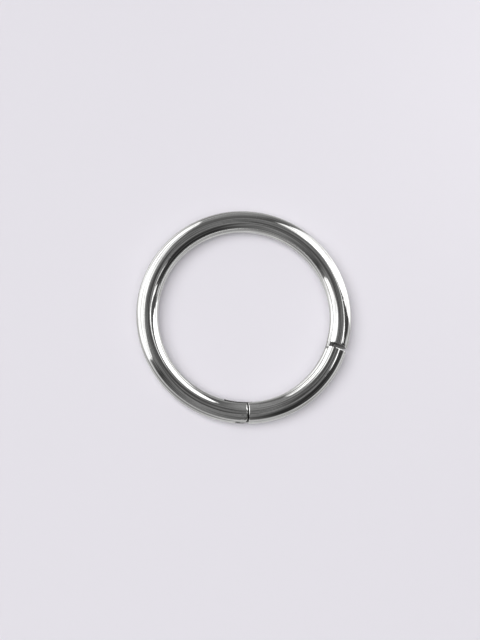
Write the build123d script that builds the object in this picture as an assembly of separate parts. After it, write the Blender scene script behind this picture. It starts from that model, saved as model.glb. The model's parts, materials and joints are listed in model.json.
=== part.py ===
from build123d import *
import os
from math import cos, degrees, radians, sin

# Hinged key ring: a round-wire ring with one segment that swings outward on a pin.
# The ring lies in the XY plane and its centre is the origin. Angles are counter-clockwise
# from +X, seen from +Z. Lengths are in millimetres.

# driving dimensions
outside_diameter = 40.0
wire_diameter = 4.0
hinge_seam_angle = -88.0
gate_tip_angle = -18.5

# hinge: a fork on the ring, a flat tongue on the gate and a pin through both
seam_gap = 0.2
fork_slot_width = 1.5
tongue_side_clearance = 0.05
pin_diameter = 1.0
pin_running_clearance = 0.05
knuckle_radius = 1.0
slot_end_outer_angle = 265.3
slot_end_inner_angle = 254.1
tail_clearance = 0.5

# closure: a flat tab on the ring that sits in a notch in the gate's tip
tip_gap = 0.65
tab_top_offset = -0.5
tab_thickness = 2.6
tab_engagement = 0.6
notch_clearance = 0.06
notch_end_clearance = 0.18

# polished edges
seam_edge_radius = 0.2
ring_tip_edge_radius = 0.28
gate_tip_edge_radius = 0.12

# derived sizes
wire_radius = wire_diameter / 2
ring_radius = (outside_diameter - wire_diameter) / 2
beyond = 2 * wire_diameter
pin_setback = seam_gap + knuckle_radius
pin_offset = wire_radius - knuckle_radius
ring_tip_angle = gate_tip_angle + degrees(tip_gap / ring_radius)


def polar(radius, angle):
    return Vector(radius * cos(radians(angle)), radius * sin(radians(angle)), 0)


def from_plane(angle, along, outward):
    """A point given from the wire's centre at an angle: along the wire, then away from the centre."""
    return polar(ring_radius + outward, angle) + polar(along, angle + 90)


def prism(points, height):
    return extrude(make_face(Polyline(*points, close=True)), amount=height / 2, both=True)


def sector(start_angle, end_angle, start_shift=0.0):
    """The wedge between two angles; its first side can be moved along the wire."""
    shift = polar(start_shift, start_angle + 90)
    reach = outside_diameter
    middle = polar(reach * 1.5, (start_angle + end_angle) / 2)
    points = [shift, polar(reach, start_angle) + shift, middle, polar(reach, end_angle), Vector(0, 0, 0)]
    if start_shift == 0:
        points = points[:-1]
    return prism(points, beyond)


def end_edges(part, angle, shift=0.0):
    """The round edges of the flat end that lies at an angle."""
    place = from_plane(angle, shift, 0)
    plane = Plane(origin=place, z_dir=polar(1, angle + 90))
    on_plane = [edge for edge in part.edges() if abs(plane.to_local_coords(edge.center()).Z) < 0.01]
    return [edge for edge in on_plane if (edge.center() - place).length < wire_diameter]


def wire_ring():
    return Torus(ring_radius, wire_radius)


pin_centre = from_plane(hinge_seam_angle, -pin_setback, pin_offset)
slot_outer = polar(ring_radius + wire_radius, slot_end_outer_angle)
slot_inner = polar(ring_radius - wire_radius, slot_end_inner_angle)


def round_bar_at_pin(diameter):
    return Pos(pin_centre.X, pin_centre.Y, 0) * Cylinder(diameter / 2, beyond)


def fork_slot():
    """The mid-plane slot; its blind end slants, so that it is longer on the inside of the ring."""
    slope = (slot_inner - slot_outer).normalized() * wire_radius
    points = [
        slot_outer - slope,
        slot_inner + slope,
        from_plane(hinge_seam_angle, wire_radius, -beyond / 2),
        from_plane(hinge_seam_angle, wire_radius, beyond / 2),
    ]
    return prism(points, fork_slot_width)


def fork_corner():
    """What is taken off the fork's outer corner to leave it round about the pin."""
    points = [
        from_plane(hinge_seam_angle, -pin_setback, pin_offset),
        from_plane(hinge_seam_angle, -pin_setback, beyond / 2),
        from_plane(hinge_seam_angle, wire_radius, beyond / 2),
        from_plane(hinge_seam_angle, wire_radius, pin_offset),
    ]
    return prism(points, beyond) - round_bar_at_pin(2 * knuckle_radius)


def tab_block(extra, end_extra):
    """The block that bounds the closing tab, or its notch when the clearances are given."""
    start = -tab_engagement - end_extra
    stop = tip_gap + wire_radius / 2
    top = tab_top_offset + extra
    points = [
        from_plane(gate_tip_angle, start, top),
        from_plane(gate_tip_angle, stop, top),
        from_plane(gate_tip_angle, stop, -beyond / 2),
        from_plane(gate_tip_angle, start, -beyond / 2),
    ]
    return prism(points, tab_thickness + 2 * extra)


def make_ring_body():
    body = wire_ring() - sector(hinge_seam_angle, ring_tip_angle, -seam_gap)
    body = fillet(end_edges(body, hinge_seam_angle, -seam_gap), seam_edge_radius)
    body = fillet(end_edges(body, ring_tip_angle), ring_tip_edge_radius)
    body = body - fork_corner() - fork_slot() - round_bar_at_pin(pin_diameter)
    tab_sector = sector(gate_tip_angle - 10, ring_tip_angle + 2)
    return body + (wire_ring() & tab_block(0, 0) & tab_sector)


def make_tongue():
    """The gate's flat tongue: a round knuckle on the pin and a tail that fills the slot's inside."""
    slope = (slot_inner - slot_outer).normalized()
    clear = Vector(-slope.Y, slope.X, 0) * tail_clearance
    if (pin_centre - slot_outer).dot(clear) < 0:
        clear = clear * -1
    knuckle_side = from_plane(hinge_seam_angle, -pin_setback - knuckle_radius, pin_offset)
    points = [
        from_plane(hinge_seam_angle, wire_radius, wire_radius),
        from_plane(hinge_seam_angle, -pin_setback, beyond / 2),
        pin_centre,
        knuckle_side,
        slot_inner + clear,
        slot_inner + clear + slope * wire_radius,
        from_plane(hinge_seam_angle, wire_radius, -beyond / 2),
    ]
    thickness = fork_slot_width - 2 * tongue_side_clearance
    knuckle = Pos(pin_centre.X, pin_centre.Y, 0) * Cylinder(knuckle_radius, thickness)
    return wire_ring() & (prism(points, thickness) + knuckle)


def make_gate():
    gate = wire_ring() & sector(hinge_seam_angle, gate_tip_angle)
    gate = fillet(end_edges(gate, hinge_seam_angle), seam_edge_radius)
    gate = fillet(end_edges(gate, gate_tip_angle), gate_tip_edge_radius)
    gate = gate - tab_block(notch_clearance, notch_end_clearance)
    gate = gate + make_tongue()
    return gate - round_bar_at_pin(pin_diameter + 2 * pin_running_clearance)


def make_hinge_pin():
    """A pin ground flush with the wire at both ends."""
    return round_bar_at_pin(pin_diameter) & wire_ring()


nodes = {
    "ring_body": make_ring_body(),
    "gate": make_gate(),
    "hinge_pin": make_hinge_pin(),
}

os.makedirs("parts", exist_ok=True)
for name, part in nodes.items():
    export_step(part, f"parts/{name}.step")
    print(name, round(part.volume, 3), "mm3")
print("hinge pin at", round(pin_centre.X, 4), round(pin_centre.Y, 4))
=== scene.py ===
import json
import bmesh
import bpy
import numpy as np
from mathutils import Matrix, Vector


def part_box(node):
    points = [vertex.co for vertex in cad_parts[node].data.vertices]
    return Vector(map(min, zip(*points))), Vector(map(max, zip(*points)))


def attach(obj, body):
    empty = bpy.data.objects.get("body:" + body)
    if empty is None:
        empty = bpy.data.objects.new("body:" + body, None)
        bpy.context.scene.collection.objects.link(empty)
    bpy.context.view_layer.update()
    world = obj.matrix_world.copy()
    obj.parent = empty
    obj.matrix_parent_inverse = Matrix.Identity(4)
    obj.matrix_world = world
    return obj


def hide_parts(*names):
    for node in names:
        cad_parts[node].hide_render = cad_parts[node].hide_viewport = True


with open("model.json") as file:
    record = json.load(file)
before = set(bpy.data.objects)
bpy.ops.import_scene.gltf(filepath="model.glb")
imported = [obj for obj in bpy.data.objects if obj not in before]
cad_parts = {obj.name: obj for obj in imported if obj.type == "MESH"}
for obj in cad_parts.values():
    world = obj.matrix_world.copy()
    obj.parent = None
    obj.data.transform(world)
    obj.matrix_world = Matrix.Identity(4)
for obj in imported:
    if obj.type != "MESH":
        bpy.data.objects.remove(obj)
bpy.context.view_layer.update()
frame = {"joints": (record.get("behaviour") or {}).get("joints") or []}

# Hinged key ring of round polished wire. It lies flat: the ring's plane is XY, +Z is up.
# Shapes are worked out in millimetres and degrees and turned to metres when a mesh is made.

metre = 0.001             # of a millimetre
mergeDistance = 2e-7      # in metres
sharpTurn = 38            # degrees between two faces

ringLow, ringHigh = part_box("ring_body")
hingeAxis = np.array(frame["joints"][0]["pos_m"]) / metre

wireHalf = min(ringHigh.z, -ringLow.z)
wire = {
    "radius": wireHalf / metre,
    "bend": (min(ringHigh.x, ringHigh.y, -ringLow.x) - wireHalf) / metre,   # centre to centre line
    "hingeSeam": 272.0,
    "gateTip": 341.3,
    "tipGap": 0.65,
}
wire["ringTip"] = wire["gateTip"] - 360 + np.degrees(wire["tipGap"] / wire["bend"])
print("frame: wire radius", round(wire["radius"], 4), "bend", round(wire["bend"], 4))


def hexToLinear(text):
    values = np.array([int(text[i:i + 2], 16) for i in (1, 3, 5)]) / 255
    linear = np.where(values <= 0.04045, values / 12.92, ((values + 0.055) / 1.055) ** 2.4)
    return (*linear.tolist(), 1.0)


# A point on or in the wire: the section circle of radius sigma is walked by psi, from the outside
# of the ring over the top, and carried round the ring's centre by theta.
def onWire(theta, sigma, psi):
    theta, sigma, psi = np.broadcast_arrays(np.radians(theta), sigma, np.radians(psi))
    across = sigma * np.cos(psi)
    reach = wire["bend"] + across
    place = np.stack([reach * np.cos(theta), reach * np.sin(theta), sigma * np.sin(psi)], -1)
    along = np.stack([theta * wire["bend"], across, sigma * np.sin(psi)], -1)
    return np.concatenate([place, along], -1)


# How far round the ring an arc of the given length reaches at each psi.
def arcAngle(length, sigma, psi):
    return np.degrees(length / (wire["bend"] + sigma * np.cos(np.radians(psi))))


# Straight lines of points between two rows, ends included.
def between(first, last, cells):
    share = np.linspace(0, 1, cells + 1)[:, None, None]
    return first[None] * (1 - share) + last[None] * share


def quarter(cells):
    return np.radians(np.linspace(0, 90, cells + 1))


# Grids of points become quads, rows that closed loops leave open become flat caps, equal points
# are merged, and the sharp edges are those that turn by more than an angle. Each grid says where
# its surface was left as the saw made it: 1 there, and 0 where it was polished. The same mark
# paints those faces darker as painted shade for the gaps and the slot they sit in, and the hinge
# tongue and the closing tab take a share of it as painted shade in the slot and the gap.
def makeMesh(name, grids):
    points, sawnAndShade, faces = [], [], []
    start = 0
    for grid in grids:
        rows, columns = grid["points"].shape[:2]
        sawnAndShade.append(np.broadcast_to(grid.get("sawnAndShade", 0.0), (rows, columns)).ravel())
        index = start + np.arange(rows * columns).reshape(rows, columns)
        for row in grid.get("caps", ()):
            faces.append(index[row].tolist())
        if grid.get("closed"):
            index = np.hstack([index, index[:, :1]])
        quads = np.stack([index[:-1, :-1], index[1:, :-1], index[1:, 1:], index[:-1, 1:]], -1)
        faces.extend(quads.reshape(-1, 4).tolist())
        points.append(grid["points"].reshape(-1, 6))
        start += rows * columns
    points = np.concatenate(points)
    mesh = bpy.data.meshes.new(name)
    mesh.from_pydata((points[:, :3] * metre).tolist(), [], faces)
    wirePlace = mesh.attributes.new("wirePlace", "FLOAT_VECTOR", "POINT")
    wirePlace.data.foreach_set("vector", points[:, 3:].astype(np.float32).ravel())
    # the sawn mask also carries painted shade, for faces in the gaps and the slot
    sawnAndShadeLayer = mesh.attributes.new("sawnAndShade", "FLOAT", "POINT")
    sawnAndShadeLayer.data.foreach_set("value", np.concatenate(sawnAndShade).astype(np.float32))
    build = bmesh.new()
    build.from_mesh(mesh)
    bmesh.ops.remove_doubles(build, verts=build.verts, dist=mergeDistance)
    bmesh.ops.recalc_face_normals(build, faces=build.faces)
    openEdges = sum(not edge.is_manifold for edge in build.edges)
    build.to_mesh(mesh)
    build.free()
    mesh.polygons.foreach_set("use_smooth", np.ones(len(mesh.polygons), bool))
    mesh.set_sharp_from_angle(angle=np.radians(sharpTurn))
    mesh.update()
    print("mesh:", name, len(mesh.polygons), "faces,", openEdges, "open edges")
    return mesh


def addPiece(name, grids, material, body, node):
    piece = bpy.data.objects.new(name, makeMesh(name, grids))
    bpy.context.scene.collection.objects.link(piece)
    piece.data.materials.append(material)
    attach(piece, body)
    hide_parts(node)


def addNode(tree, kind, settings=None, inputs=None):
    node = tree.nodes.new(kind)
    for key, value in (settings or {}).items():
        setattr(node, key, value)
    for key, value in (inputs or {}).items():
        if isinstance(value, bpy.types.NodeSocket):
            tree.links.new(value, node.inputs[key])
        else:
            node.inputs[key].default_value = value
    return node


def newMaterial(name):
    material = bpy.data.materials.new(name)
    material.use_nodes = True
    material.node_tree.nodes.clear()
    return material, material.node_tree


# Steel wire, mirror polished on a buffing wheel that ran along it: streaks that way, a slow
# waviness that makes reflections wander, and a few stray scratches from use. Where the piece was
# sawn to length or milled, the same steel is dull and lined. Those faces are also painted darker
# as painted shade for the gaps and the slot they sit in, and the hinge tongue and the closing tab
# take a share of that painted shade. Sizes are in millimetres:
# each pattern has a width across the wire, a length along it, a turn in degrees and a detail.
polish = {
    # the sawn colour is dull cut steel and also painted shade: it darkens faces in the gaps, the slot, the
    # tongue and the tab
    "colour": "#E6E6E5", "cloudColour": "#D6D6D5", "streakColour": "#8C8B8A", "sawnAndShadeColour": "#585756",
    "streakShare": 0.85, "hairShare": 0.3, "pitShare": 0.16, "roughness": 0.045, "streakRoughness": 0.04,
    "scratchRoughness": 0.16, "sawnRoughness": 0.42,
    "patterns": {
        "waves": (2.6, 5.0, 0, 1.0), "clouds": (1.8, 6.0, 0, 3.0), "streaks": (0.28, 20.0, 0, 2.0),
        "hairs": (0.2, 2.4, 0, 2.0), "pits": (0.26, 0.3, 0, 2.0),
        "scratchLeft": (0.22, 4.5, 24, 1.0), "scratchRight": (0.24, 5.0, -33, 1.0)},
    # the part of a pattern's range over which a mark grows from none to full
    "marks": {
        "clouds": (0.35, 0.7), "streaks": (0.46, 0.58), "hairs": (0.5, 0.72), "pits": (0.45, 0.7),
        "scratchLeft": (0.71, 0.75), "scratchRight": (0.72, 0.76)},
    "heights": {"waves": 0.015, "streaks": 0.003, "hairs": 0.0005, "pits": 0.0008, "scratches": -0.0012},
}


def makePolishedSteel():
    material, tree = newMaterial("mirrorPolishedSteel")
    place = addNode(tree, "ShaderNodeAttribute", {"attribute_name": "wirePlace"}).outputs["Vector"]
    sawnAndShade = addNode(tree, "ShaderNodeAttribute", {"attribute_name": "sawnAndShade"}).outputs["Fac"]
    pattern = {}
    for name, (width, length, turn, detail) in polish["patterns"].items():
        turn = np.radians(turn)
        mapped = addNode(tree, "ShaderNodeMapping", {"vector_type": "TEXTURE"}, {
            "Vector": place, "Rotation": (0, turn, turn), "Scale": (length, width, width)})
        pattern[name] = addNode(tree, "ShaderNodeTexNoise", {}, {
            "Vector": mapped.outputs[0], "Scale": 1.0, "Detail": detail}).outputs["Fac"]
    mark = {}
    for name, (low, high) in polish["marks"].items():
        mark[name] = addNode(tree, "ShaderNodeMapRange", {}, {
            "Value": pattern[name], "From Min": low, "From Max": high}).outputs[0]
    scratches = addNode(tree, "ShaderNodeMath", {"operation": "MAXIMUM"}, {
        0: mark["scratchLeft"], 1: mark["scratchRight"]}).outputs[0]
    pattern["scratches"] = scratches

    colour = hexToLinear(polish["colour"])
    shades = (("clouds", "cloudColour", 1.0), ("streaks", "streakColour", polish["streakShare"]),
              ("hairs", "streakColour", polish["hairShare"]), ("pits", "streakColour", polish["pitShare"]))
    for name, shade, share in shades:
        amount = addNode(tree, "ShaderNodeMath", {"operation": "MULTIPLY"}, {0: mark[name], 1: share})
        colour = addNode(tree, "ShaderNodeMix", {"data_type": "RGBA"}, {
            0: amount.outputs[0], 6: colour, 7: hexToLinear(polish[shade])}).outputs[2]
    # painted shade: by the sawn mask, faces in the gaps and the slot, the tongue and the tab are painted
    # darker
    colour = addNode(tree, "ShaderNodeMix", {"data_type": "RGBA"}, {
        0: sawnAndShade, 6: colour, 7: hexToLinear(polish["sawnAndShadeColour"])}).outputs[2]

    roughness = polish["roughness"]
    for amount, extra in ((mark["streaks"], "streakRoughness"), (scratches, "scratchRoughness")):
        roughness = addNode(tree, "ShaderNodeMath", {"operation": "MULTIPLY_ADD"}, {
            0: amount, 1: polish[extra], 2: roughness}).outputs[0]
    roughness = addNode(tree, "ShaderNodeMix", {}, {
        0: sawnAndShade, 2: roughness, 3: polish["sawnRoughness"]}).outputs[0]

    shader = addNode(tree, "ShaderNodeBsdfPrincipled", {}, {
        "Base Color": colour, "Metallic": 1.0, "Roughness": roughness})
    normal = None
    for name, height in polish["heights"].items():
        bump = addNode(tree, "ShaderNodeBump", {}, {
            "Height": pattern[name], "Strength": 1.0, "Distance": height * metre})
        if normal:
            tree.links.new(normal, bump.inputs["Normal"])   # one bump on top of the other
        normal = bump.outputs[0]
    tree.links.new(normal, shader.inputs["Normal"])
    addNode(tree, "ShaderNodeOutputMaterial", {}, {"Surface": shader.outputs[0]})
    print("material:", material.name)
    return material


polishedSteel = makePolishedSteel()

body = {
    "tipEdge": 0.28, "seamEdge": 0.24, "seamGap": 0.2,
    "slotWidth": 1.5, "knuckle": 1.0,
    "slotOuterEnd": 265.3, "slotInnerEnd": 254.5, "straightUntil": 246.0,
    "cellsAlong": 262, "cellsTop": 72, "cellsSlot": 12, "cellsCheek": 26, "cellsEdge": 10, "cellsFace": 10,
    "cellsAcross": 16, "cellsLip": 10, "outerLip": 0.05, "innerLip": 0.3, "lipRun": 0.06, "lipFit": 2.1,
}


def planPoint(radius, angle):
    return radius * np.array([np.cos(np.radians(angle)), np.sin(np.radians(angle))])


# The blind end of the slot is a straight slanted line in plan. For a point at a given distance
# from the ring's centre, the angle is where the circle of that radius crosses the line, which is
# the larger root of a quadratic in the share of the way along it.
def slotEndAngle(reach):
    first = planPoint(wire["bend"] + wire["radius"], body["slotOuterEnd"])
    step = planPoint(wire["bend"] - wire["radius"], body["slotInnerEnd"]) - first
    a, b = step @ step, first @ step
    c = first @ first - reach ** 2
    share = (-b - np.sqrt(np.maximum(b * b - a * c, 0))) / a
    x, y = first[0] + share * step[0], first[1] + share * step[1]
    return np.degrees(np.arctan2(y, x)) % 360


# The fork's end in plan: a line parallel to the seam, then a quarter circle about the hinge axis.
def forkEndAngle(reach):
    axisReach = np.hypot(*hingeAxis[:2])
    axisAngle = np.degrees(np.arctan2(hingeAxis[1], hingeAxis[0])) % 360
    straight = wire["hingeSeam"] - np.degrees(np.arcsin(body["seamGap"] / reach))
    cosine = (reach ** 2 + axisReach ** 2 - body["knuckle"] ** 2) / (2 * reach * axisReach)
    curved = axisAngle + np.degrees(np.arccos(np.clip(cosine, -1, 1)))
    return np.where(reach > axisReach, np.minimum(curved, straight), straight)


# Half a wire's section in the slot's half plane, across and up: the outer lip, the arc, the inner
# lip. A lip of radius e is centred e above the slot and sigma - e from the wire's centre.
def lippedLoop(sigma, outerLip, innerLip):
    share = np.linspace(0, 1, body["cellsLip"] + 1)[:-1]
    starts, corners = [], []
    for lip in (outerLip, innerLip):
        height = body["slotWidth"] / 2 + lip
        middle = np.sqrt(np.maximum((sigma - lip) ** 2 - height ** 2, 0))
        start = np.arctan2(height, middle)
        turn = start * share - np.pi / 2 * (1 - share)
        starts.append(start)
        corners.append(np.stack([middle + lip * np.cos(turn), height + lip * np.sin(turn)], -1))
    arc = starts[0] + (np.pi - starts[0] - starts[1]) * np.linspace(0, 1, body["cellsTop"] + 1)
    top = np.stack([sigma * np.cos(arc), sigma * np.sin(arc)], -1)
    return np.concatenate([corners[0], top, corners[1][:, ::-1] * np.array([-1, 1])], 1)


# The body is a circle of the wire's radius carried round the ring's centre, from a flat tip with a
# quarter-round edge to a fork: two cheeks of D-shaped section with the slot between them.
def makeRingBody():
    radius, edge = wire["radius"], body["tipEdge"]
    slotHalf = body["slotWidth"] / 2
    lip = np.degrees(np.arcsin(slotHalf / radius))
    outer = np.linspace(-lip, lip, body["cellsSlot"] + 1)
    top = np.linspace(lip, 180 - lip, body["cellsTop"] + 1)
    psi = np.concatenate([outer[:-1], top[:-1], outer[:-1] + 180, top[:-1] + 180])[None]
    reach = wire["bend"] + radius * np.cos(np.radians(psi))

    # the flat tip, its rounded edge, the plain wire, and the wire up to the slot's slanted end
    faceSigma = np.linspace(0, radius - edge, body["cellsFace"] + 1)[:, None]
    turn = quarter(body["cellsEdge"])[1:, None]
    edgeSigma = radius - edge + edge * np.sin(turn)
    edgeTheta = wire["ringTip"] + arcAngle(edge * (1 - np.cos(turn)), edgeSigma, psi)
    share = np.linspace(0, 1, body["cellsAlong"] + 1)[1:, None]
    plainTheta = edgeTheta[-1:] * (1 - share) + body["straightUntil"] * share
    share = np.linspace(0, 1, body["cellsSlot"] + 1)[1:, None]
    rootTheta = body["straightUntil"] * (1 - share) + slotEndAngle(reach) * share
    rows = [onWire(wire["ringTip"], faceSigma, psi), onWire(edgeTheta, edgeSigma, psi),
            onWire(plainTheta, radius, psi), onWire(rootTheta, radius, psi)]
    points = np.concatenate(rows)
    # the tip's flat face is marked sawn, which also paints it darker as painted shade in the nose gap
    grids = [{"points": points, "closed": True, "sawnAndShade": np.arange(len(points))[:, None] < len(faceSigma)}]

    # one cheek of the fork: rows of D-shaped loops, an arc over the wire, a chord along the slot, and
    # where they meet a rounded lip that grows from nothing at the slot's blind end
    edge = body["seamEdge"]
    share = np.linspace(0, 1, body["cellsCheek"] + 1)[:, None]
    turn = quarter(body["cellsEdge"])[1:, None]
    sigma = np.concatenate([radius - edge + edge * np.cos(turn),
                            np.linspace(radius - edge, slotHalf, body["cellsFace"] + 1)[1:, None]])
    recess = np.concatenate([edge - edge * np.sin(turn), np.zeros((body["cellsFace"], 1))])
    grown = np.minimum(1, share / body["lipRun"])
    lipRoom = (sigma - slotHalf) / body["lipFit"]
    sideLoop = lippedLoop(np.full_like(share, radius), body["outerLip"] * grown, body["innerLip"] * grown)
    endLoop = lippedLoop(sigma, np.minimum(body["outerLip"], lipRoom), np.minimum(body["innerLip"], lipRoom))
    sideReach, endReach = wire["bend"] + sideLoop[..., 0], wire["bend"] + endLoop[..., 0]
    lastTheta = forkEndAngle(sideReach) - np.degrees(edge / sideReach)
    sideTheta = slotEndAngle(sideReach) * (1 - share) + lastTheta * share
    endTheta = forkEndAngle(endReach) - np.degrees(recess / endReach)
    loops = np.concatenate([sideLoop, endLoop])
    theta = np.concatenate([sideTheta, endTheta])
    psi = np.degrees(np.arctan2(loops[..., 1], loops[..., 0]))
    outline = onWire(theta, np.hypot(loops[..., 0], loops[..., 1]), psi)
    chord = between(outline[:, -1], outline[:, 0], body["cellsAcross"])[1:-1].transpose(1, 0, 2)
    cheek = np.concatenate([outline, chord], 1)
    mirror = np.array([1, 1, -1, 1, 1, -1])
    # the cheeks' end faces at the seam and their walls along the slot are marked sawn, which also paints
    # them darker as painted shade in the seam and the slot
    onFace = np.arange(len(cheek))[:, None] > body["cellsCheek"] + body["cellsEdge"]
    onChord = np.arange(cheek.shape[1])[None] >= outline.shape[1]
    for half in (cheek, cheek * mirror):
        grids.append({"points": half, "closed": True, "sawnAndShade": onFace | onChord})

    # the slot's blind end, between the outside of the ring and its inside, marked sawn and so painted darker
    # as painted shade deep in the slot
    outerRow = onWire(slotEndAngle(wire["bend"] + radius * np.cos(np.radians(outer))), radius, outer)
    innerPsi = 180 - outer
    innerRow = onWire(slotEndAngle(wire["bend"] + radius * np.cos(np.radians(innerPsi))), radius, innerPsi)
    grids.append({"points": between(outerRow, innerRow, body["cellsAcross"]), "sawnAndShade": 1.0})
    addPiece("ringBody", grids, polishedSteel, "ring", "ring_body")


makeRingBody()

# The tab's quarter share of the sawn mask makes it a little rougher and paints it a little darker, as
# painted shade in the nose gap where it sits.
tab = {"top": -0.5, "thickness": 2.6, "engagement": 0.34, "root": 0.8, "corner": 0.14, "endEdge": 0.1,
       "recess": 0.03, "sawnAndShade": 0.25, "cellsArc": 32, "cellsFlat": 8, "cellsEdge": 6, "cellsAlong": 10}


# The tab's section is the inner part of the wire's circle, cut off flat on three sides, as a
# closed outline with rounded corners; it is carried along the wire and closed at both ends.
def makeTab():
    radius = wire["radius"] - tab["recess"]
    half, corner = tab["thickness"] / 2, tab["corner"]
    lip = np.degrees(np.arcsin(half / radius))
    arc = np.radians(np.linspace(180 - lip, 180 + lip, tab["cellsArc"] + 1))
    turn = quarter(tab["cellsEdge"])
    lipAcross = radius * np.cos(arc[0])
    flatAcross = np.linspace(tab["top"] - corner, lipAcross, tab["cellsFlat"] + 1)[1:-1]
    upperAcross = np.concatenate([tab["top"] - corner + corner * np.sin(turn)[::-1], flatAcross])
    upperUp = np.concatenate([half - corner + corner * np.cos(turn)[::-1], np.full(flatAcross.size, half)])
    upper = np.stack([upperAcross, upperUp], 1)
    side = np.linspace(-(half - corner), half - corner, tab["cellsFlat"] + 1)[1:-1]
    outline = np.concatenate([
        upper,
        np.stack([radius * np.cos(arc), radius * np.sin(arc)], 1),
        upper[::-1] * np.array([1, -1]),
        np.stack([np.full(side.size, tab["top"]), side], 1)])
    middle = np.array([(tab["top"] - radius) / 2, 0])
    first = wire["ringTip"] + np.degrees(tab["root"] / wire["bend"])
    last = wire["gateTip"] - 360 - np.degrees(tab["engagement"] / wire["bend"])
    edge = tab["endEdge"]
    sweep = np.linspace(first, last + np.degrees(edge / wire["bend"]), tab["cellsAlong"] + 1)
    endTurn = quarter(tab["cellsEdge"])[1:]
    theta = np.concatenate([sweep, last + np.degrees(edge * (1 - np.sin(endTurn)) / wire["bend"])])
    shrink = np.concatenate([np.ones(sweep.size), 1 - edge * (1 - np.cos(endTurn)) / (radius / 2)])
    shape = middle + (outline[None] - middle) * shrink[:, None, None]
    sigma, psi = np.hypot(shape[..., 0], shape[..., 1]), np.degrees(np.arctan2(shape[..., 1], shape[..., 0]))
    points = onWire(theta[:, None], sigma, psi)
    grids = [{"points": points, "closed": True, "caps": (0, -1), "sawnAndShade": tab["sawnAndShade"]}]
    addPiece("closingTab", grids, polishedSteel, "ring", "ring_body")


makeTab()

gate = {
    "seamEdge": 0.2, "tipEdge": 0.22,
    "notchTop": -0.44, "notchWidth": 2.72, "notchDepth": 0.5,
    "cellsAlong": 70, "cellsOuter": 124, "cellsInner": 40, "cellsEdge": 10, "cellsFace": 10, "cellsWall": 8,
    "cellsNotch": 6,
}


# The gate is the same circle carried from the seam to the tip, where the circle has a notch cut in
# its inner side. Both ends are flat, with quarter-round edges.
def makeGateBar():
    radius = wire["radius"]
    notchHalf = gate["notchWidth"] / 2
    lip = np.degrees(np.arcsin(notchHalf / radius))
    outer = np.linspace(-180 + lip, 180 - lip, gate["cellsOuter"] + 1)
    inner = np.linspace(180 - lip, 180 + lip, gate["cellsInner"] + 1)
    psi = np.concatenate([outer[:-1], inner[:-1]])[None]

    # the shoulder's flat face and rounded edge, and the plain bar as far as the notch
    edge = gate["seamEdge"]
    faceSigma = np.linspace(0, radius - edge, gate["cellsFace"] + 1)[:, None]
    turn = quarter(gate["cellsEdge"])[1:, None]
    edgeSigma = radius - edge + edge * np.sin(turn)
    edgeTheta = wire["hingeSeam"] + arcAngle(edge * (1 - np.cos(turn)), edgeSigma, psi)
    notchTheta = wire["gateTip"] - arcAngle(gate["notchDepth"], radius, psi)
    share = np.linspace(0, 1, gate["cellsAlong"] + 1)[1:, None]
    plainTheta = edgeTheta[-1:] * (1 - share) + notchTheta * share
    rows = [onWire(wire["hingeSeam"], faceSigma, psi), onWire(edgeTheta, edgeSigma, psi),
            onWire(plainTheta, radius, psi)]
    points = np.concatenate(rows)
    # the shoulder's flat face is marked sawn, which also paints it darker as painted shade in the hinge seam
    grids = [{"points": points, "closed": True, "sawnAndShade": np.arange(len(points))[:, None] < len(faceSigma)}]

    # the notched tip: rows of C-shaped loops, an arc outside and three straight walls inside
    edge = gate["tipEdge"]
    outerPsi = outer[None]
    lastTheta = wire["gateTip"] - arcAngle(edge, radius, outerPsi)
    startTheta = wire["gateTip"] - arcAngle(gate["notchDepth"], radius, outerPsi)
    share = np.linspace(0, 1, gate["cellsNotch"] + 1)[:, None]
    arcs = [onWire(startTheta * (1 - share) + lastTheta * share, radius, outerPsi)]
    turn = quarter(gate["cellsEdge"])[1:, None]
    sigma = radius - edge + edge * np.cos(turn)
    rowLip = np.degrees(np.arcsin(notchHalf / sigma))
    rowPsi = outerPsi * (180 - rowLip) / (180 - lip)
    arcs.append(onWire(wire["gateTip"] - arcAngle(edge - edge * np.sin(turn), sigma, rowPsi), sigma, rowPsi))
    arc = np.concatenate(arcs)
    wallZ = radius * np.sin(np.radians(inner))
    rowTheta = np.degrees(arc[:, 0, 3] / wire["bend"])[:, None]

    def wallRow(across, height):
        sigmaWall = np.hypot(across, height)
        return onWire(rowTheta, sigmaWall, np.degrees(np.arctan2(height, across)))

    corner = gate["notchTop"]
    upper = between(arc[:, -1], wallRow(np.array([[corner]]), np.array([[notchHalf]]))[:, 0],
                    gate["cellsWall"])[1:].transpose(1, 0, 2)
    down = wallRow(np.full((1, wallZ.size - 2), corner), wallZ[None, 1:-1])
    lower = between(wallRow(np.array([[corner]]), np.array([[-notchHalf]]))[:, 0], arc[:, 0],
                    gate["cellsWall"])[:-1].transpose(1, 0, 2)
    tip = np.concatenate([arc, upper, down, lower], 1)
    # the notch's walls and the tip's flat end are marked sawn, which also paints them darker as painted
    # shade in the nose gap
    onWall = np.arange(tip.shape[1])[None] >= arc.shape[1]
    onEnd = np.arange(len(tip))[:, None] == len(tip) - 1
    grids.append({"points": tip, "closed": True, "caps": (-1,), "sawnAndShade": onWall | onEnd})

    # the notch's end wall, marked sawn and so painted darker as painted shade in the nose gap
    innerTheta = wire["gateTip"] - arcAngle(gate["notchDepth"], radius, inner)
    skin = onWire(innerTheta, radius, inner)
    cornerTheta = rowTheta[0]
    floor = onWire(cornerTheta, np.hypot(corner, wallZ), np.degrees(np.arctan2(wallZ, corner)))
    grids.append({"points": between(skin, floor, gate["cellsWall"]), "sawnAndShade": 1.0})
    addPiece("gateBar", grids, polishedSteel, "gate_segment", "gate")


makeGateBar()

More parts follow.
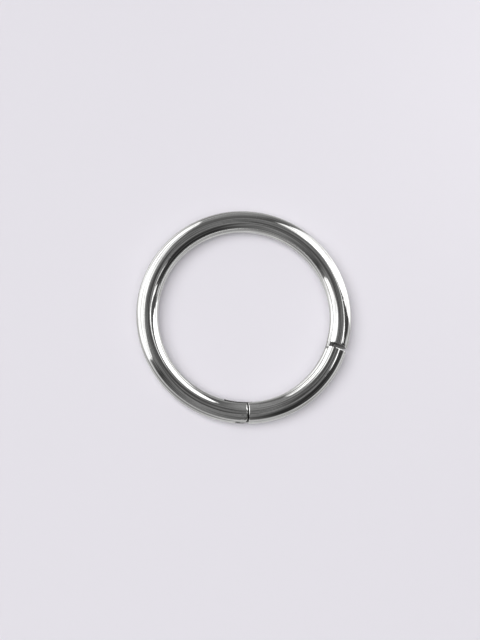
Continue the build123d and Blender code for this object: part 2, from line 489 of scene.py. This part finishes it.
# The tongue's share of the sawn mask makes it rougher and paints it darker, as painted shade for the slot it
# sits in.
tongue = {"thickness": 1.32, "edge": 0.15, "innerRecess": 0.03, "knuckle": 0.72, "root": 0.9,
          "tailEnd": 255.9, "tailLead": 0.6, "tailShare": 0.12, "sawnAndShade": 0.7,
          "cellsInside": 43, "cellsTail": 8, "cellsSlope": 13, "cellsKnuckle": 25, "cellsOutside": 15,
          "cellsEdge": 6, "cellsSide": 6}


# The tongue in plan, walked round as a closed line: along the ring's inside to the tail, down a
# slanted end, round the knuckle about the hinge axis, and back along the outside into the gate.
def tongueOutline():
    centre = hingeAxis[:2]
    inside = wire["bend"] - wire["radius"] + tongue["innerRecess"]
    rootAngle = wire["hingeSeam"] + np.degrees(tongue["root"] / wire["bend"])
    innerAngles = np.linspace(rootAngle, tongue["tailEnd"] + tongue["tailLead"], tongue["cellsInside"] + 1)
    innerLine = planPoint(inside, innerAngles).T
    tail = planPoint(inside, tongue["tailEnd"])
    toTail = tail - centre
    distance = np.hypot(*toTail)
    # the tangent from the tail to the knuckle's circle, on the side away from the seam
    touch = np.arctan2(toTail[1], toTail[0]) + np.arccos(tongue["knuckle"] / distance)
    touchPoint = centre + tongue["knuckle"] * np.array([np.cos(touch), np.sin(touch)])
    # the tail's tip is rounded with a curve of three control points
    firstPoint, lastPoint = innerLine[-1], tail + (touchPoint - tail) * tongue["tailShare"]
    share = np.linspace(0, 1, tongue["cellsTail"] + 1)[1:, None]
    tip = (1 - share) ** 2 * firstPoint + 2 * share * (1 - share) * tail + share ** 2 * lastPoint
    share = np.linspace(0, 1, tongue["cellsSlope"] + 1)[1:, None]
    slope = lastPoint * (1 - share) + touchPoint * share
    outward = np.arctan2(centre[1], centre[0])
    outward = outward + 2 * np.pi * np.round((touch - outward) / (2 * np.pi))
    angles = np.linspace(touch, outward, tongue["cellsKnuckle"] + 1)[1:]
    knuckleLine = centre + tongue["knuckle"] * np.stack([np.cos(angles), np.sin(angles)], 1)
    outerReach = np.hypot(*knuckleLine[-1])
    startAngle = np.degrees(np.arctan2(knuckleLine[-1][1], knuckleLine[-1][0])) % 360
    outerAngles = np.linspace(startAngle, rootAngle, tongue["cellsOutside"] + 1)[1:]
    outerLine = planPoint(outerReach, outerAngles).T
    return np.concatenate([innerLine, tip, slope, knuckleLine, outerLine])


# The outline is moved inward by a quarter circle near each flat side, which rounds both edges.
def makeTongue():
    outline = tongueOutline()
    ahead, behind = np.roll(outline, -1, 0), np.roll(outline, 1, 0)
    forward = ahead - behind
    forward /= np.hypot(forward[:, 0], forward[:, 1])[:, None]
    inward = np.stack([-forward[:, 1], forward[:, 0]], 1)
    area = np.sum(outline[:, 0] * ahead[:, 1] - ahead[:, 0] * outline[:, 1])
    inward = inward * np.sign(area)
    half, edge = tongue["thickness"] / 2, tongue["edge"]
    turn = quarter(tongue["cellsEdge"])
    straight = np.zeros(tongue["cellsSide"] - 1)
    inset = np.concatenate([edge * (1 - np.sin(turn)), straight, edge * (1 - np.sin(turn[::-1]))])
    height = np.concatenate([half - edge * (1 - np.cos(turn)),
                             np.linspace(half - edge, edge - half, tongue["cellsSide"] + 1)[1:-1],
                             edge * (1 - np.cos(turn[::-1])) - half])
    plan = outline[None] + inward[None] * inset[:, None, None]
    level = np.broadcast_to(height[:, None, None], (*plan.shape[:2], 1))
    along = np.radians(wire["hingeSeam"]) * wire["bend"] + plan[..., :1]
    across = plan[..., 1:] + wire["bend"]
    points = np.concatenate([plan, level, along, across, level], -1)
    grids = [{"points": points, "closed": True, "caps": (0, -1), "sawnAndShade": tongue["sawnAndShade"]}]
    addPiece("hingeTongue", grids, polishedSteel, "gate_segment", "gate")


makeTongue()

pin = {"radius": 0.5, "proud": 0.004, "edge": 0.05, "sunk": 0.03, "cellsRound": 64, "cellsAcross": 14}


# Circles about the hinge axis, grown from the middle of the end: the end follows the wire's own
# round surface and dips at its rim, then the shaft runs to the other end.
def makePin():
    radii = np.linspace(0, pin["radius"], pin["cellsAcross"] + 1)[:, None]
    around = np.radians(np.linspace(0, 360, pin["cellsRound"] + 1)[:-1])[None]
    x, y = hingeAxis[0] + radii * np.cos(around), hingeAxis[1] + radii * np.sin(around)
    across = np.hypot(x, y) - wire["bend"]
    skin = np.sqrt(wire["radius"] ** 2 - across ** 2)
    rim = np.clip((radii - pin["radius"] + pin["edge"]) / pin["edge"], 0, 1)
    z = skin + pin["proud"] - (pin["proud"] + pin["sunk"]) * rim ** 2
    end = np.stack([x, y, z, x, y, z], -1)
    start = end[::-1] * np.array([1, 1, -1, 1, 1, -1])
    grids = [{"points": np.concatenate([end, start]), "closed": True}]
    addPiece("hingePin", grids, polishedSteel, "ring", "hinge_pin")


makePin()

# The light that falls on the floor: two far, soft lamps that only matt surfaces see, and a dim sky.
studio = {
    "floorColour": "#E6E3EA", "floorHalf": 2.0, "floorRoughness": 0.6, "sky": 0.19,
    "key": {"azimuth": 172, "elevation": 60, "softness": 45, "strength": 1.84},
    "top": {"azimuth": 300, "elevation": 76, "softness": 50, "strength": 0.89},
}


def makeFloor():
    half = studio["floorHalf"]
    low = ringLow.z
    mesh = bpy.data.meshes.new("floor")
    corners = [(-half, -half, low), (half, -half, low), (half, half, low), (-half, half, low)]
    mesh.from_pydata(corners, [], [(0, 1, 2, 3)])
    floor = bpy.data.objects.new("floor", mesh)
    bpy.context.scene.collection.objects.link(floor)
    material, tree = newMaterial("paleAcrylic")
    shader = addNode(tree, "ShaderNodeBsdfPrincipled", {}, {
        "Base Color": hexToLinear(studio["floorColour"]), "Roughness": studio["floorRoughness"]})
    addNode(tree, "ShaderNodeOutputMaterial", {}, {"Surface": shader.outputs[0]})
    mesh.materials.append(material)
    floor.visible_glossy = False


def addLamp(name):
    look = studio[name]
    lamp = bpy.data.lights.new(name, "SUN")
    lamp.energy = look["strength"]
    lamp.angle = np.radians(look["softness"])
    holder = bpy.data.objects.new(name + "Lamp", lamp)
    bpy.context.scene.collection.objects.link(holder)
    azimuth, elevation = np.radians([look["azimuth"], look["elevation"]])
    level = np.cos(elevation)
    toLamp = Vector((level * np.cos(azimuth), level * np.sin(azimuth), np.sin(elevation)))
    holder.rotation_euler = toLamp.to_track_quat("Z", "Y").to_euler()
    holder.visible_glossy = False


# The light that the metal mirrors: glowing cards that stand round the ring. A card faces the ring
# from an azimuth and a distance in metres; each corner is across, up and how bright it is there,
# and past the share "soft" of the way out the light fades to nothing. What is below the floor is
# the card's image in the floor's gloss.
cards = {
    "leftCard": {"azimuth": 155, "distance": 1.0, "middle": (0.0, 0.4, 2.7), "soft": 0.95, "corners": [
        (-1.0, 0.0, 2.0), (-1.02, 0.7, 1.7), (-0.88, 1.18, 1.0), (-0.45, 1.45, 0.9), (0.1, 1.66, 0.85),
        (0.6, 1.76, 0.75), (0.86, 1.45, 0.6), (1.16, 0.95, 0.9), (1.24, 0.2, 1.4), (1.2, -0.5, 0.95),
        (0.8, -1.0, 0.85), (0.0, -1.1, 0.95), (-0.8, -0.95, 0.85), (-1.04, -0.4, 1.0)]},
    "rightCard": {"azimuth": 37, "distance": 0.1, "middle": (0.005, 0.06, 3.0), "soft": 0.94, "corners": [
        (-0.036, -0.02, 1.4), (-0.05, 0.04, 1.8), (-0.062, 0.09, 1.9), (-0.056, 0.138, 1.4),
        (-0.037, 0.152, 1.4), (-0.011, 0.13, 2.2), (0.019, 0.095, 2.6), (0.037, 0.061, 2.6),
        (0.05, 0.029, 2.6), (0.06, -0.02, 2.2), (0.063, -0.08, 1.2), (0.055, -0.16, 0.7),
        (0.0, -0.16, 0.5), (-0.025, -0.09, 0.6)]},
    "rightStrip": {"azimuth": 37, "distance": 1.0, "middle": (0.45, 1.47, 2.4), "soft": 0.9, "corners": [
        (0.88, 0.84, 1.1), (0.8, 1.08, 1.6), (0.66, 1.42, 1.9), (0.42, 1.66, 1.9), (0.14, 1.92, 1.6),
        (-0.16, 2.05, 1.0), (-0.16, 1.66, 1.0), (0.12, 1.5, 1.5), (0.4, 1.29, 1.8), (0.6, 1.06, 1.6),
        (0.72, 0.8, 1.1)]},
    "farBand": {"azimuth": 10, "distance": 1.0, "middle": (0.22, 1.38, 2.0), "soft": 0.85, "corners": [
        (0.02, 1.25, 1.3), (0.02, 1.6, 1.3), (0.25, 1.62, 1.3), (0.42, 1.5, 1.1), (0.44, 1.12, 1.1),
        (0.25, 1.15, 1.2)]},
    "lowGlint": {"azimuth": 358, "distance": 0.4, "middle": (0.0, 0.0, 0.9), "soft": 0.5, "corners": [
        (-0.03, -0.1, 0.6), (-0.03, 0.1, 0.6), (0.03, 0.11, 0.6), (0.04, -0.1, 0.6)]},
}


# A card is a fan of rings between its middle and its outline, each a share of the way out.
def addCard(name, card):
    azimuth = np.radians(card["azimuth"])
    ahead = np.array([np.cos(azimuth), np.sin(azimuth), 0]) * card["distance"]
    across = np.array([np.sin(azimuth), -np.cos(azimuth), 0])
    middle, outline = np.array(card["middle"]), np.array(card["corners"])
    share = np.array([0, card["soft"] / 2, card["soft"], 1])[:, None, None]
    rows = middle + (outline - middle) * np.minimum(share, 1)
    count = len(outline)
    index = np.arange(rows.shape[0] * count).reshape(rows.shape[0], count)
    index = np.hstack([index, index[:, :1]])
    quads = np.stack([index[:-1, :-1], index[1:, :-1], index[1:, 1:], index[:-1, 1:]], -1)
    flat = rows.reshape(-1, 3)
    points = ahead + flat[:, :1] * across + flat[:, 1:2] * np.array([0, 0, 1])
    mesh = bpy.data.meshes.new(name)
    mesh.from_pydata(points.tolist(), [], quads.reshape(-1, 4).tolist())
    cover = np.broadcast_to((share < 1).astype(np.float32), rows.shape)[..., 0]
    for label, values in (("glow", flat[:, 2]), ("cover", cover)):
        layer = mesh.attributes.new(label, "FLOAT", "POINT")
        layer.data.foreach_set("value", values.astype(np.float32).ravel())
    piece = bpy.data.objects.new(name, mesh)
    bpy.context.scene.collection.objects.link(piece)
    material, tree = newMaterial(name + "Light")
    glow = addNode(tree, "ShaderNodeAttribute", {"attribute_name": "glow"}).outputs["Fac"]
    cover = addNode(tree, "ShaderNodeAttribute", {"attribute_name": "cover"}).outputs["Fac"]
    light = addNode(tree, "ShaderNodeEmission", {}, {"Strength": glow})
    clear = addNode(tree, "ShaderNodeBsdfTransparent")
    mixed = addNode(tree, "ShaderNodeMixShader", {}, {0: cover, 1: clear.outputs[0], 2: light.outputs[0]})
    addNode(tree, "ShaderNodeOutputMaterial", {}, {"Surface": mixed.outputs[0]})
    mesh.materials.append(material)
    piece.visible_camera = piece.visible_diffuse = piece.visible_shadow = False


# What the metal mirrors behind the cards, as a few broad greys. By azimuth, the walls are pale
# between the two big cards and opposite them, and dark to each side of that; the pale floor is
# dimmer between those cards. By elevation, the ceiling has two dark rings.
room = {
    "walls": [(0, "#585858"), (70, "#707070"), (80, "#989898"), (200, "#888888"), (210, "#545454"),
              (245, "#888888"), (280, "#848484"), (300, "#4C4C4C"), (345, "#4C4C4C"), (360, "#585858")],
    "floor": [(0, "#F0F0F0"), (60, "#A8A8A8"), (100, "#B0B0B0"), (120, "#F0F0F0"), (195, "#E8E8E8"),
              (225, "#D4D4D4"), (340, "#D8D8D8"), (360, "#F0F0F0")],
    "ceiling": [(0, "#888888"), (70, "#8C8C8C"), (74, "#4C4C4C"), (79, "#909090"), (82, "#646464"),
                (85, "#909090"), (90, "#808080")],
    "nearFloor": "#DCDCDC", "horizon": (-8, 8), "wallTop": (44, 64), "floorNear": (-62, -20),
}


def makeWorld():
    world = bpy.data.worlds.new("studio")
    bpy.context.scene.world = world
    world.use_nodes = True
    tree = world.node_tree
    tree.nodes.clear()
    direction = addNode(tree, "ShaderNodeTexCoord").outputs["Generated"]
    parts = addNode(tree, "ShaderNodeSeparateXYZ", {}, {0: direction})
    azimuth = addNode(tree, "ShaderNodeMath", {"operation": "ARCTAN2"}, {
        0: parts.outputs["Y"], 1: parts.outputs["X"]})
    turns = addNode(tree, "ShaderNodeMath", {"operation": "DIVIDE"}, {0: azimuth.outputs[0], 1: 2 * np.pi})
    turns = addNode(tree, "ShaderNodeMath", {"operation": "FRACT"}, {0: turns.outputs[0]})
    height = addNode(tree, "ShaderNodeMath", {"operation": "ARCSINE"}, {0: parts.outputs["Z"]})
    degrees = addNode(tree, "ShaderNodeMath", {"operation": "DEGREES"}, {0: height.outputs[0]})
    elevation = degrees.outputs[0]
    upShare = addNode(tree, "ShaderNodeMath", {"operation": "DIVIDE"}, {0: elevation, 1: 90.0}).outputs[0]

    # each layer is a ramp of greys, laid over the one before it above an edge that fades in
    mirrored = hexToLinear(room["nearFloor"])
    layers = (("floor", turns.outputs[0], 360, "floorNear"), ("walls", turns.outputs[0], 360, "horizon"),
              ("ceiling", upShare, 90, "wallTop"))
    for name, value, span, edge in layers:
        stops = [(place / span, hexToLinear(grey)) for place, grey in room[name]]
        ramp = addNode(tree, "ShaderNodeValToRGB", {}, {"Fac": value})
        elements = ramp.color_ramp.elements
        elements[0].position, elements[0].color = stops[0]
        elements[1].position, elements[1].color = stops[-1]
        for place, grey in stops[1:-1]:
            elements.new(place).color = grey
        low, high = room[edge]
        rise = addNode(tree, "ShaderNodeMapRange", {"interpolation_type": "SMOOTHSTEP"}, {
            "Value": elevation, "From Min": low, "From Max": high})
        mirrored = addNode(tree, "ShaderNodeMix", {"data_type": "RGBA"}, {
            0: rise.outputs[0], 6: mirrored, 7: ramp.outputs["Color"]}).outputs[2]
    path = addNode(tree, "ShaderNodeLightPath")
    sky = addNode(tree, "ShaderNodeBackground", {}, {"Color": (1, 1, 1, 1), "Strength": studio["sky"]})
    seen = addNode(tree, "ShaderNodeBackground", {}, {"Color": mirrored})
    backdrop = addNode(tree, "ShaderNodeBackground", {}, {"Color": hexToLinear(studio["floorColour"])})
    mixed = addNode(tree, "ShaderNodeMixShader", {}, {
        0: path.outputs["Is Glossy Ray"], 1: sky.outputs[0], 2: seen.outputs[0]})
    mixed = addNode(tree, "ShaderNodeMixShader", {}, {
        0: path.outputs["Is Camera Ray"], 1: mixed.outputs[0], 2: backdrop.outputs[0]})
    addNode(tree, "ShaderNodeOutputWorld", {}, {"Surface": mixed.outputs[0]})


makeFloor()
makeWorld()
addLamp("key")
addLamp("top")
for name, card in cards.items():
    addCard(name, card)
print("studio:", len(cards), "cards")

camera = {"lean": 12.6, "towards": 238.0, "lens": 100.0, "sensor": 36.0, "distance": 0.3289,
          "ringRight": 0.0008, "ringUp": 0.00065}


def makeCamera():
    data = bpy.data.cameras.new("camera")
    data.lens, data.sensor_width = camera["lens"], camera["sensor"]
    data.clip_start = 0.01
    lean, towards = np.radians([camera["lean"], camera["towards"]])
    back = Vector((np.sin(lean) * np.cos(towards), np.sin(lean) * np.sin(towards), np.cos(lean)))
    right = Vector((0, 1, 0)).cross(back).normalized()
    up = back.cross(right)
    view = bpy.data.objects.new("camera", data)
    bpy.context.scene.collection.objects.link(view)
    target = -(right * camera["ringRight"] + up * camera["ringUp"])
    view.matrix_world = Matrix((
        (right.x, up.x, back.x, (target + back * camera["distance"]).x),
        (right.y, up.y, back.y, (target + back * camera["distance"]).y),
        (right.z, up.z, back.z, (target + back * camera["distance"]).z),
        (0, 0, 0, 1)))
    bpy.context.scene.camera = view


makeCamera()
bpy.context.scene.view_settings.view_transform = "Standard"
